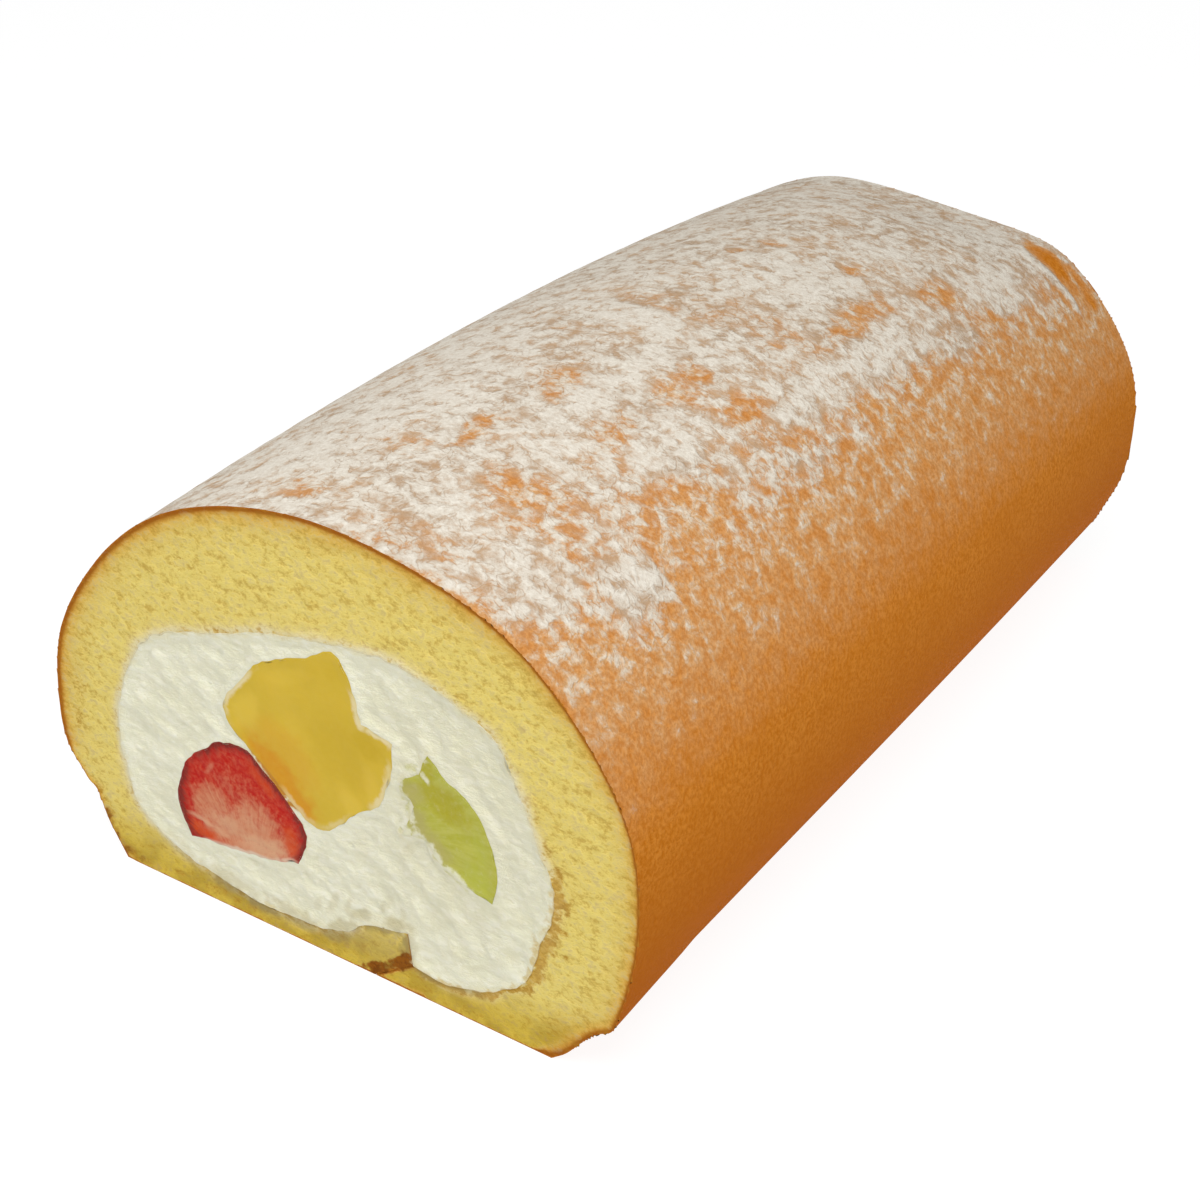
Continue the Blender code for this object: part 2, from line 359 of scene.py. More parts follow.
def fractal(place, size, octaves=3, seed=0.0):
    """Soft noise from about -1 to 1, with features of a size."""
    return noise.fractal(place / size + Vector((seed, seed * 1.7, -seed)), 1.0, 2.0, octaves,
                         noise_basis="PERLIN_ORIGINAL")


def smooth(share):
    """Ease from 0 to 1."""
    share = min(1.0, max(0.0, share))
    return share * share * (3.0 - 2.0 * share)


def dabbed(first, second, dabs, ragged=0.0):
    """The strength of the strongest dab at a place, in millimetres; ragged wears its edge."""
    strongest = 0.0
    for at_first, at_second, half_first, half_second, lean, amount in dabs:
        turn = math.radians(lean)
        aside, ahead = first - at_first, second - at_second
        across = (aside * math.cos(turn) + ahead * math.sin(turn)) / half_first
        along = (ahead * math.cos(turn) - aside * math.sin(turn)) / half_second
        reach = math.hypot(across, along) + ragged
        strongest = max(strongest, amount * smooth(1.5 - reach))
    return strongest


def paint_cuts(piece, name, dabs, raggedness=0.5):
    """Store how strongly the dabs colour each point of a cut."""
    values = []
    for point in piece.data.vertices:
        ragged = raggedness * fractal(point.co, 1.3 * MM, 3, 12)
        values.append(dabbed(point.co.x / MM, point.co.z / MM, dabs, ragged))
    store(piece, name, values)


def ragged_edge(place):
    """How the edges inside a cut wander, in metres."""
    sway = Vector()
    for size, reach in EDGE_WAVES:
        sway += noise.noise_vector(place / (size * MM)) * reach * MM
    return Vector((sway.x, 0.0, sway.z))


def wander(piece, room_from):
    """Let the edges inside the cuts wander, but not near the skin, the seam or the base."""
    for point in piece.data.vertices:
        from_seam = math.hypot(point.co.x - LAP_HEAD.x, point.co.z - LAP_HEAD.z)
        weight = smooth(from_seam / (5 * MM) - 0.8)
        if room_from is not None:
            weight *= smooth((room_from.find_nearest(point.co)[3] / MM - 2.0) / 3.0)
        point.co += ragged_edge(point.co) * weight * min(1.0, point.co.z / (2 * MM))


def roughen_cuts(piece, relief, depths):
    """Press each cut face inwards by a relief that depends on the place and the depth inside the wall."""
    for point, depth in zip(piece.data.vertices, depths):
        place = point.co
        if place.y < FRONT + WELD:
            place.y += relief(place, depth)
        elif place.y > BACK - WELD:
            place.y -= relief(place, depth)


# ---------------------------------------------------- materials

def add(tree, kind, inputs=None, **settings):
    """A shader node, with its settings and its inputs, each a value or another node's output."""
    made = tree.nodes.new("ShaderNode" + kind)
    for name, value in settings.items():
        setattr(made, name, value)
    for name, value in (inputs or {}).items():
        socket = made.inputs[name]
        if isinstance(value, bpy.types.NodeSocket):
            tree.links.new(value, socket)
        elif socket.type == "RGBA":
            socket.default_value = (*value, 1.0)
        else:
            socket.default_value = value
    return made


def mix(tree, factor, first, second):
    """Mix two colours."""
    return add(tree, "Mix", {0: factor, 6: first, 7: second}, data_type="RGBA").outputs[2]


def spread(tree, value, low, high, to_low=0.0, to_high=1.0):
    """Map a value smoothly from one range to another."""
    made = add(tree, "MapRange", {"Value": value, "From Min": low, "From Max": high,
                                  "To Min": to_low, "To Max": to_high}, interpolation_type="SMOOTHSTEP")
    return made.outputs["Result"]


def maths(tree, operation, first, second=0.0, third=0.0):
    """One sum on two or three values."""
    return add(tree, "Math", {0: first, 1: second, 2: third}, operation=operation).outputs[0]


def times(tree, first, second):
    """A product."""
    return maths(tree, "MULTIPLY", first, second)


def less(tree, first, second):
    """A difference."""
    return maths(tree, "SUBTRACT", first, second)


def frayed(tree, value, by, share):
    """A value with a share of a mask added, so that its edges fray."""
    return maths(tree, "MULTIPLY_ADD", by, share, value)


def ramp(tree, value, stops):
    """Colours along a value; each stop is a position and a colour."""
    made = add(tree, "ValToRGB", {"Fac": value})
    elements = made.color_ramp.elements
    for index, (position, colour) in enumerate(stops):
        stop = elements[index] if index < 2 else elements.new(position)
        stop.position = position
        stop.color = (*colour, 1.0)
    return made.outputs["Color"]


def coordinate(tree, place, axis):
    """One coordinate of a place."""
    return add(tree, "SeparateXYZ", {"Vector": place}).outputs[axis]


def turned(tree, place, degrees, squeeze):
    """A place turned in the cut and squeezed across, so that a pattern leans and draws out."""
    return add(tree, "Mapping", {"Vector": place, "Rotation": (0.0, math.radians(degrees), 0.0),
                                 "Scale": (squeeze, 1.0, 1.0)}).outputs[0]


def new_group(name, values):
    """A node group that makes a mask from a place and named values."""
    tree = bpy.data.node_groups.new(name, "ShaderNodeTree")
    tree.interface.new_socket(name="Place", in_out="INPUT", socket_type="NodeSocketVector")
    for socket, value in values.items():
        made = tree.interface.new_socket(name=socket, in_out="INPUT", socket_type="NodeSocketFloat")
        made.default_value = value
    tree.interface.new_socket(name="Mask", in_out="OUTPUT", socket_type="NodeSocketFloat")
    return tree, tree.nodes.new("NodeGroupInput").outputs, tree.nodes.new("NodeGroupOutput").inputs


def grain_group():
    """Fine uneven grain."""
    tree, given, out = new_group("Grain", {"Scale": 1000, "Roughness": 0.6, "From": 0.3, "To": 0.7})
    field = add(tree, "TexNoise", {"Vector": given["Place"], "Scale": given["Scale"], "Detail": 4.0,
                                   "Roughness": given["Roughness"]})
    tree.links.new(spread(tree, field.outputs["Fac"], given["From"], given["To"]), out["Mask"])
    return tree


def pores_group():
    """Small round pits of uneven size."""
    tree, given, out = new_group("Pores", {"Scale": 800, "Size": 0.3})
    cells = add(tree, "TexVoronoi", {"Vector": given["Place"], "Scale": given["Scale"], "Randomness": 1.0})
    chance = add(tree, "SeparateColor", {"Color": cells.outputs["Color"]}).outputs["Red"]
    width = times(tree, given["Size"], spread(tree, chance, 0.2, 1.0, 0.2, 1.3))
    inside = less(tree, width, cells.outputs["Distance"])
    tree.links.new(spread(tree, inside, 0.0, 0.16), out["Mask"])
    return tree


def fibres_group():
    """Fine fibres that run out from a centre in the cut face."""
    tree, given, out = new_group("Fibres", {"Centre X": 0.0, "Centre Z": 0.0, "Count": 14})
    axes = add(tree, "SeparateXYZ", {"Vector": given["Place"]}).outputs
    across = less(tree, axes["X"], given["Centre X"])
    up = less(tree, axes["Z"], given["Centre Z"])
    turn = maths(tree, "ARCTAN2", up, across)
    arm = add(tree, "CombineXYZ", {"X": across, "Y": 0.0, "Z": up})
    length = add(tree, "VectorMath", {0: arm.outputs[0]}, operation="LENGTH").outputs["Value"]
    drawn_out = add(tree, "CombineXYZ", {"X": times(tree, turn, given["Count"]),
                                         "Y": times(tree, length, 160),
                                         "Z": times(tree, axes["Y"], 60)})
    field = add(tree, "TexNoise", {"Vector": drawn_out.outputs[0], "Scale": 1.0, "Detail": 3.0,
                                   "Roughness": 0.6})
    tree.links.new(spread(tree, field.outputs["Fac"], 0.35, 0.65), out["Mask"])
    return tree


GRAIN = grain_group()
PORES = pores_group()
FIBRES = fibres_group()


def use(tree, group, inputs):
    """The mask of a node group, with the material's own values."""
    return add(tree, "Group", inputs, node_tree=group).outputs["Mask"]


def grain(tree, place, scale, roughness, low=0.3, high=0.7):
    return use(tree, GRAIN, {"Place": place, "Scale": scale, "Roughness": roughness, "From": low, "To": high})


def soft(weight, reach, radius):
    """Settings for something that light sinks into."""
    return {"Subsurface Weight": weight, "Subsurface Scale": reach, "Subsurface Radius": radius}


def new_material(name, roughness, **constants):
    """A material, its node tree, its shader, and the object coordinates."""
    made = bpy.data.materials.new(name)
    made.use_nodes = True
    tree = made.node_tree
    shader = tree.nodes["Principled BSDF"]
    shader.inputs["Roughness"].default_value = roughness
    for socket, value in constants.items():
        shader.inputs[socket.replace("_", " ")].default_value = value
    place = add(tree, "TexCoord").outputs["Object"]
    return made, tree, shader, place


def stored(tree, name):
    """A number that is kept on the mesh."""
    return add(tree, "Attribute", attribute_name=name).outputs["Fac"]


def colour_in(tree, shader, colour):
    tree.links.new(colour, shader.inputs["Base Color"])


def bump_in(tree, shader, height, distance, strength=1.0):
    made = add(tree, "Bump", {"Height": height, "Distance": distance, "Strength": strength})
    tree.links.new(made.outputs["Normal"], shader.inputs["Normal"])


# The crumb's colours inwards from the skin: the share of seven crusts, and the colour there.
CRUMB_INWARDS = (
    (0.0, (0.46, 0.15, 0.01)), (0.05, (0.34, 0.1, 0.006)), (0.09, (0.37, 0.12, 0.007)),
    (0.15, (0.62, 0.31, 0.046)), (0.22, (0.73, 0.45, 0.09)), (0.32, (0.74, 0.5, 0.11)),
    (0.46, (0.765, 0.575, 0.15)), (0.75, (0.81, 0.635, 0.168)), (1.0, (0.825, 0.665, 0.185)))
CRUMB_DEEPEST = 7.0
# Where a name holds two colours, a grain mixes them.
CRUMB_BAND = (0.76, 0.56, 0.12)
# Painted highlight on the crumb's crests, painted shade in its hollows and pores.
CRUMB_CREST_HIGHLIGHT = (0.91, 0.8, 0.37)
CRUMB_HOLLOW_SHADE = (0.6, 0.43, 0.07)
CRUMB_PORE_SHADE = (0.5, 0.34, 0.05)
# Golden and darker towards the base: partly the crumb's own colour, partly painted shade.
CRUMB_GOLDEN_AND_SHADED_AT_BASE = (0.46, 0.3, 0.018), (0.63, 0.44, 0.04)
CRUMB_BY_CREAM = (0.86, 0.76, 0.44)
CRUMB_TOASTED = (0.42, 0.21, 0.02), (0.68, 0.42, 0.085)
CRUMB_WIPED = (0.76, 0.69, 0.47)
CRUMB_SHADED = (0.35, 0.26, 0.095)
CRUMB_DARK = (0.15, 0.04, 0.003), (0.31, 0.105, 0.009)


def crumb_material():
    """Open yellow crumb, browned under the skin and in patches beside the cream, with painted highlights and
    painted shade in its grain.
    """
    made, tree, shader, place = new_material(
        "crumb", 0.9, Specular_IOR_Level=0.08, **soft(0.1, 0.0006, (1.0, 0.7, 0.3)))
    leaning = turned(tree, place, 38, 0.7)
    height = coordinate(tree, place, "Z")
    fine = grain(tree, leaning, 900, 0.75)
    broad = grain(tree, place, 170, 0.5)
    bands = grain(tree, leaning, 75, 0.6)
    pores = use(tree, PORES, {"Place": leaning, "Scale": 900, "Size": 0.4})
    uneven = times(tree, less(tree, broad, 0.5), 1.1)
    flecks = less(tree, fine, 0.5)
    under = frayed(tree, stored(tree, "skin_depth"), flecks, 0.25)
    under = maths(tree, "DIVIDE", under, stored(tree, "crust"))
    under = maths(tree, "ADD", under, times(tree, uneven, spread(tree, under, 0.8, 3.0)))
    crumb = ramp(tree, maths(tree, "DIVIDE", under, CRUMB_DEEPEST), CRUMB_INWARDS)
    grainy = spread(tree, under, 0.6, 1.6)
    # Painted highlight on the crests and painted shade in the hollows and pores, from the grain that also
    # bumps the crumb.
    crests = spread(tree, fine, 0.45, 1.0)
    hollows = spread(tree, fine, 0.5, 0.0)
    for mask, share, colour in ((bands, 0.16, CRUMB_BAND), (crests, 0.36, CRUMB_CREST_HIGHLIGHT),
                                (hollows, 0.19, CRUMB_HOLLOW_SHADE), (pores, 0.11, CRUMB_PORE_SHADE)):
        crumb = mix(tree, times(tree, mask, times(tree, grainy, share)), crumb, colour)
    # Towards the base the crumb turns golden and darker, partly painted shade.
    golden_and_shaded = times(tree, spread(tree, height, 1.5 * MM, 11 * MM, 0.82, 0.0), spread(tree, under, 0.9, 2.3))
    crumb = mix(tree, golden_and_shaded, crumb, mix(tree, spread(tree, broad, 0.2, 0.8), *CRUMB_GOLDEN_AND_SHADED_AT_BASE))
    beside = frayed(tree, stored(tree, "filling_depth"), flecks, 0.8)
    crumb = mix(tree, times(tree, spread(tree, beside, 2.6, 0.0, 0.0, 0.8), broad), crumb, CRUMB_BY_CREAM)
    browned = frayed(tree, stored(tree, "browned"), flecks, -0.9)
    crumb = mix(tree, spread(tree, browned, -0.05, 0.85, 0.0, 0.85), crumb, mix(tree, fine, *CRUMB_TOASTED))
    wiped = times(tree, spread(tree, beside, 1.5, -0.1, 0.0, 0.8), spread(tree, browned, 0.5, 0.1))
    smeared = spread(tree, frayed(tree, stored(tree, "smeared"), flecks, 0.6), 0.15, 0.85)
    crumb = mix(tree, maths(tree, "MAXIMUM", wiped, smeared), crumb, CRUMB_WIPED)
    crumb = mix(tree, times(tree, stored(tree, "shade"), 0.9), crumb, CRUMB_SHADED)
    dark = spread(tree, frayed(tree, stored(tree, "dark"), flecks, 0.8), 0.0, 1.1)
    colour_in(tree, shader, mix(tree, dark, crumb, mix(tree, fine, *CRUMB_DARK)))
    relief = times(tree, less(tree, fine, times(tree, pores, 0.8)), grainy)
    bump_in(tree, shader, relief, 0.22 * MM, 0.5)
    return made


SKIN_BAKED = (0.56, 0.165, 0.007), (0.72, 0.265, 0.032)
SKIN_BLOTCH = (0.6, 0.185, 0.01)
# Painted shade: the skin is painted darker towards the base, where less light falls.
SKIN_SHADED_LOW = (0.49, 0.125, 0.002)
SKIN_SHADE_BAND = 42 * MM, 10 * MM
SKIN_DUSTY = (0.61, 0.365, 0.165), (0.77, 0.52, 0.28)
SKIN_UNDER_SUGAR = (0.47, 0.35, 0.24), (0.59, 0.41, 0.26)
GREYER_TO_BACK = 1.8
SUGAR_WHITE = (0.76, 0.685, 0.575), (0.88, 0.82, 0.715)


def skin_material():
    """Baked skin with painted shade low down, under a veil of dust and painted light on its flank and
    powdered sugar on top.
    """
    made, tree, shader, place = new_material("baked_skin", 0.8, Specular_IOR_Level=0.03)
    dots = grain(tree, place, 1600, 0.7, 0.34, 0.66)
    blotches = grain(tree, place, 110, 0.5)
    skin = mix(tree, dots, *SKIN_BAKED)
    skin = mix(tree, times(tree, blotches, 0.35), skin, SKIN_BLOTCH)
    # Painted shade, darker low on the flank.
    skin = mix(tree, spread(tree, coordinate(tree, place, "Z"), *SKIN_SHADE_BAND), skin, SKIN_SHADED_LOW)
    powder = add(tree, "TexNoise", {"Vector": place, "Scale": 430, "Detail": 5.0, "Roughness": 0.64,
                                    "Distortion": 0.3}).outputs["Fac"]
    winding = add(tree, "TexNoise", {"Vector": place, "Scale": 390, "Detail": 2.0, "Roughness": 0.5,
                                     "Distortion": 0.7}).outputs["Fac"]
    creases = spread(tree, maths(tree, "ABSOLUTE", less(tree, winding, 0.5)), 0.05, 0.0, 0.0, 0.35)
    grit = times(tree, less(tree, 0.5, powder), 3.8)
    level = less(tree, maths(tree, "ADD", stored(tree, "sugar"), grit), creases)
    dusted = spread(tree, level, -0.1, 1.2)
    greyed = frayed(tree, stored(tree, "sugar"), coordinate(tree, place, "Y"), GREYER_TO_BACK)
    deep = spread(tree, greyed, 0.1, 0.65, 0.0, 0.92)
    # Painted light with the dust: the veil pales the upper flanks.
    veil = times(tree, stored(tree, "veil"), spread(tree, powder, 0.7, 0.3, 0.4, 1.6))
    thin = maths(tree, "MAXIMUM", maths(tree, "MAXIMUM", veil, deep), spread(tree, dusted, 0.0, 0.6))
    tan = mix(tree, deep, mix(tree, dots, *SKIN_DUSTY), mix(tree, blotches, *SKIN_UNDER_SUGAR))
    colour_in(tree, shader, mix(tree, dusted, mix(tree, thin, skin, tan), mix(tree, dots, *SUGAR_WHITE)))
    relief = maths(tree, "ADD", times(tree, dusted, 0.9), times(tree, dots, 0.35))
    bump_in(tree, shader, relief, 0.2 * MM, 0.8)
    return made


CREAM_SOFT = (0.84, 0.815, 0.605), (0.88, 0.86, 0.67)
# Painted shade in the knife's strokes, darker where they are deepest.
CREAM_SHADE_IN_STROKES = (0.78, 0.76, 0.57)
# Painted highlight on the cream's crests and painted shade in its hollows.
CREAM_CREST_HIGHLIGHT = (0.925, 0.905, 0.765)
CREAM_HOLLOW_SHADE = (0.72, 0.71, 0.53)
CREAM_BY_CRUMB = (0.82, 0.75, 0.48)
CREAM_WITH_CRUMBS = (0.66, 0.47, 0.14)
CREAM_SHADED = (0.58, 0.52, 0.31)
# Painted orange shade where the strawberry and the mango meet.
ORANGE_CONTACT_SHADE = (0.6, 0.25, 0.02)
# Greenish-grey on the cream beside the kiwi.
CREAM_GREENISH_BESIDE_KIWI = (0.58, 0.56, 0.19)


def cream_material():
    """Whipped cream dragged by the knife, with painted shade in its strokes and hollows, painted highlights
    on its crests, and painted orange shade where the strawberry and mango meet.
    """
    made, tree, shader, place = new_material(
        "whipped_cream", 0.6, Specular_IOR_Level=0.2, **soft(0.3, 0.0012, (1.0, 0.9, 0.7)))
    fluff = grain(tree, turned(tree, place, -38, 0.45), 1000, 0.75, 0.32, 0.68)
    cream = mix(tree, grain(tree, place, 200, 0.5), *CREAM_SOFT)
    # Painted shade, darker where the strokes are deepest.
    cream = mix(tree, times(tree, stored(tree, "stroke"), 0.5), cream, CREAM_SHADE_IN_STROKES)
    # Painted highlight on the fluff's crests and painted shade in its hollows.
    cream = mix(tree, spread(tree, fluff, 0.45, 1.0, 0.0, 0.5), cream, CREAM_CREST_HIGHLIGHT)
    cream = mix(tree, spread(tree, fluff, 0.5, 0.0, 0.0, 0.18), cream, CREAM_HOLLOW_SHADE)
    rim = spread(tree, frayed(tree, stored(tree, "wall_depth"), fluff, 0.9), 1.5, 0.2, 0.0, 0.7)
    cream = mix(tree, times(tree, rim, stored(tree, "outside")), cream, CREAM_BY_CRUMB)
    browned = spread(tree, frayed(tree, stored(tree, "browned"), fluff, -0.5), 0.0, 0.9, 0.0, 0.7)
    cream = mix(tree, browned, cream, CREAM_WITH_CRUMBS)
    cream = mix(tree, times(tree, stored(tree, "shade"), 0.9), cream, CREAM_SHADED)
    # Painted orange shade where the strawberry and the mango meet.
    contact_shade = spread(tree, frayed(tree, stored(tree, "contact_shade"), fluff, -0.4), 0.0, 0.8)
    cream = mix(tree, contact_shade, cream, ORANGE_CONTACT_SHADE)
    greened = spread(tree, frayed(tree, stored(tree, "greened"), fluff, -0.6), -0.1, 0.9, 0.0, 0.8)
    colour_in(tree, shader, mix(tree, greened, cream, CREAM_GREENISH_BESIDE_KIWI))
    bump_in(tree, shader, fluff, 0.25 * MM, 0.6)
    return made


BERRY_RED = (0.49, 0.006, 0.001), (0.565, 0.022, 0.004)
BERRY_CORE = (0.61, 0.215, 0.105), (0.645, 0.255, 0.13)
BERRY_PALE = (0.68, 0.37, 0.21)
BERRY_FLUSH = (0.63, 0.07, 0.009)
BERRY_LIGHT = (0.7, 0.38, 0.22)
BERRY_RIM = (0.34, 0.012, 0.005)
BERRY_SKIN = (0.17, 0.01, 0.006)
BERRY_SPECK = (0.62, 0.3, 0.2)
BERRY_SMEARED = (0.76, 0.6, 0.45)


def strawberry_material():
    """Red flesh round a pale core with fibres, under a dark rim."""
    made, tree, shader, place = new_material(
        "cut_strawberry", 0.5, Specular_IOR_Level=0.08, **soft(0.1, 0.0008, (1.0, 0.3, 0.2)))
    fibre = use(tree, FIBRES, {"Place": place, "Centre X": -14 * MM, "Centre Z": 6 * MM, "Count": 26})
    fine = grain(tree, place, 1100, 0.65)
    deep = frayed(tree, frayed(tree, stored(tree, "rim_depth"), fine, -0.4), fibre, -0.5)
    core = mix(tree, stored(tree, "pale"), mix(tree, fibre, *BERRY_CORE), BERRY_PALE)
    core_share = frayed(tree, stored(tree, "core"), less(tree, fibre, 0.5), 0.14)
    core_share = frayed(tree, core_share, less(tree, fine, 0.5), 0.4)
    flesh = mix(tree, spread(tree, core_share, -0.1, 1.1), mix(tree, fine, *BERRY_RED), core)
    flesh = mix(tree, stored(tree, "flush"), flesh, BERRY_FLUSH)
    flesh = mix(tree, times(tree, stored(tree, "light"), 0.8), flesh, BERRY_LIGHT)
    rim = stored(tree, "rim")
    flesh = mix(tree, times(tree, rim, spread(tree, deep, 1.1, -0.1, 0.0, 0.7)), flesh, BERRY_RIM)
    flesh = mix(tree, times(tree, rim, spread(tree, deep, 0.15, -0.35, 0.0, 0.8)), flesh, BERRY_SKIN)
    flesh = mix(tree, times(tree, fine, 0.06), flesh, BERRY_SPECK)
    colour_in(tree, shader, mix(tree, stored(tree, "smeared"), flesh, BERRY_SMEARED))
    bump_in(tree, shader, fine, 0.12 * MM, 0.5)
    return made


MANGO_FLESH = (0.63, 0.43, 0.03), (0.69, 0.47, 0.04)
MANGO_OLIVE = (0.58, 0.385, 0.018)
MANGO_ORANGE = (0.66, 0.25, 0.003)
# Paler flesh, and a painted highlight at the upper left.
MANGO_PALE_AND_HIGHLIGHT = (0.77, 0.54, 0.06)
MANGO_SPECK = (0.7, 0.52, 0.08)
MANGO_SMEARED = (0.8, 0.68, 0.38)


def mango_material():
    """Smooth yellow flesh, orange at the end that meets the strawberry."""
    made, tree, shader, place = new_material(
        "cut_mango", 0.45, Specular_IOR_Level=0.1, **soft(0.15, 0.0012, (1.0, 0.6, 0.15)))
    fine = grain(tree, place, 1000, 0.6)
    flesh = mix(tree, grain(tree, place, 110, 0.45), *MANGO_FLESH)
    # The 'light' dabs paint paler flesh and a painted highlight at the upper left.
    for name, colour in (("olive", MANGO_OLIVE), ("orange", MANGO_ORANGE), ("light", MANGO_PALE_AND_HIGHLIGHT)):
        flesh = mix(tree, stored(tree, name), flesh, colour)
    flesh = mix(tree, times(tree, fine, 0.1), flesh, MANGO_SPECK)
    edge = spread(tree, frayed(tree, stored(tree, "rim_depth"), fine, 0.35), 0.9, 0.2)
    colour_in(tree, shader, mix(tree, times(tree, edge, stored(tree, "smeared")), flesh, MANGO_SMEARED))
    bump_in(tree, shader, fine, 0.08 * MM, 0.3)
    return made


KIWI_FLESH = (0.445, 0.435, 0.04), (0.51, 0.495, 0.085)
KIWI_OLIVE = (0.42, 0.37, 0.02)
KIWI_LIME = (0.475, 0.49, 0.06)
KIWI_SPECK = (0.56, 0.54, 0.2)
KIWI_MISTY = (0.46, 0.41, 0.125)
KIWI_SMEARED = (0.8, 0.78, 0.58)


def kiwi_material():
    """Green flesh with rays from the slice's middle, misty where cream has smeared it."""
    made, tree, shader, place = new_material(
        "cut_kiwi", 0.5, Specular_IOR_Level=0.1, **soft(0.15, 0.0012, (0.8, 1.0, 0.3)))
    fibre = use(tree, FIBRES, {"Place": place, "Centre X": 8 * MM, "Centre Z": 26 * MM, "Count": 16})
    fine = grain(tree, place, 1100, 0.65)
    flesh = mix(tree, fibre, *KIWI_FLESH)
    for share, colour in ((stored(tree, "olive"), KIWI_OLIVE), (stored(tree, "lime"), KIWI_LIME),
                          (times(tree, fine, 0.16), KIWI_SPECK), (stored(tree, "misty"), KIWI_MISTY)):
        flesh = mix(tree, share, flesh, colour)
    smeared = frayed(tree, stored(tree, "smeared"), less(tree, fine, 0.5), 0.5)
    smeared = spread(tree, smeared, 0.1, 0.9, 0.0, 0.9)
    colour_in(tree, shader, mix(tree, smeared, flesh, KIWI_SMEARED))
    bump_in(tree, shader, fine, 0.12 * MM, 0.4)
    return made


# ---------------------------------------------------- the sponge

def from_axis(centre):
    """The way to a place from the middle of the roll."""
    return Vector((centre.x, 0.0, centre.z - ROLL_AXIS_HEIGHT))


def in_seam(place):
    """True round the seam and the sheet's end that laps over it."""
    return place.z < LAP_TOP and abs(place.x - SEAM_MIDDLE) < SEAM_REACH


def is_outside(centre, normal):
    """True on a piece's outer wall: the baked skin down to the seam's lining, or the cream's rim."""
    return is_wall(centre, normal) and normal.dot(from_axis(centre)) > 0.0


def is_shown_skin(centre, normal):
    """True on the baked skin above the ground."""
    return is_outside(centre, normal) and centre.z > 0.3 * MM and not in_seam(centre)


def is_filling_wall(centre, normal):
    """True on the inside of the sheet, beside the cream."""
    return is_wall(centre, normal) and normal.dot(from_axis(centre)) < 0.0 and not in_seam(centre)


def crust_thickness(place):
    """How thick the browned layer is, in millimetres."""
    if in_seam(place):
        return CRUST_SEAM if place.z < SEAM_TOP else CRUST_LAP
    right = max(0.0, place.x / ROLL_HIGH.x)
    low = max(0.0, 1.0 - place.z / (16 * MM))
    flank = CRUST - CRUST_LESS_RIGHT * right ** 3 + CRUST_MORE_LOW_RIGHT * low * right
    if place.x < 0.0:
        flank *= 1.0 - CRUST_LESS_UNDER_LEDGE * smooth((18 * MM - place.z) / (3 * MM))
    base = smooth((38 * MM - abs(place.x + 1.5 * MM)) / (3 * MM)) * smooth((10 * MM - place.z) / (4 * MM))
    return flank + (CRUST_BASE - flank) * base


def dust_and_light_veil(place, normal):
    """How strong the veil on the flanks is, from 0 to 1: thin dust and painted light."""
    facing = normal.normalized().dot(SUGAR_FALL) + VEIL_AT_BACK * (place.y - FRONT) / ROLL_LENGTH
    share = min(1.0, max(0.0, (facing - VEIL_FROM) / (VEIL_FULL - VEIL_FROM)))
    sheltered = smooth((15 * MM - place.z) / (4 * MM)) if place.x < 0.0 else 0.0
    return VEIL_MOST * share ** VEIL_EASE * (1.0 - (1.0 - VEIL_UNDER_LEDGE) * sheltered)


def sugar_cover(place, normal):
    """How thick the powdered sugar lies: 0 for none, 1 for full, beyond both in drifts and bare spots."""
    facing = normal.normalized().dot(SUGAR_FALL)
    share = (facing - SUGAR_BARE_BELOW) / (1.0 - SUGAR_BARE_BELOW)
    if share < 0.0:
        return 1.5 * share
    cover = SUGAR_MOST * share ** SUGAR_EASE
    streaked = Vector((place.x * 0.8, place.y, place.z * 0.8))
    patchy = (SUGAR_WIDE_PATCHES * fractal(place, 10 * MM, 3, 3.1)
              + SUGAR_FINE_PATCHES * fractal(streaked, 3.2 * MM, 3, 7.7))
    cover += patchy * smooth(cover / 0.3)
    if place.z > ROLL_AXIS_HEIGHT:
        ragged = SUGAR_RAGGED * fractal(streaked, 2.6 * MM, 3, 15)
        along = (place.y - FRONT) / MM
        cover += dabbed(place.x / MM, along, SUGAR_DRIFTS, ragged) * smooth(cover / 0.2 + 0.3)
        cover -= dabbed(place.x / MM, along, SUGAR_THIN, ragged)
        cover -= SUGAR_KNOCKED_OFF * smooth(1.0 - along / 1.3) * smooth(place.x / (45 * MM))
    return cover


def crumb_relief(place, depths):
    """Depth of the torn crumb below a clean cut, in metres."""
    under_skin, beside_filling = depths
    leaning = Vector((place.x * 0.8 + place.z * 0.35, place.y, place.z))
    wide = fractal(place, 9 * MM, 2, 1.3)
    fine = fractal(leaning, 1.5 * MM, 3, 5.1)
    crags = CRUMB_CRAGS * dabbed(place.x / MM, place.z / MM, BROWNED_DABS, 0.4 * fine)
    depth = CRUMB_DEPTH + CRUMB_WIDE * wide + CRUMB_FINE * fine
    edge = smooth(beside_filling / 1.4)
    return (max(0.0, depth) * smooth(under_skin / 1.5) * edge + EDGE_DEPTH * (1.0 - edge) + crags) * MM


def close_seam(piece):
    """Bring the seam's two walls together."""
    edit(piece, "FACE")
    for side in (1, -1):
        select_faces(piece, lambda centre, normal: (
            in_seam(centre) and centre.z < SEAM_TOP and side * normal.dot(SEAM_FACING) > 0.9))
        bpy.ops.transform.translate(value=(side * SEAM_CLOSING, 0, 0))
    done()


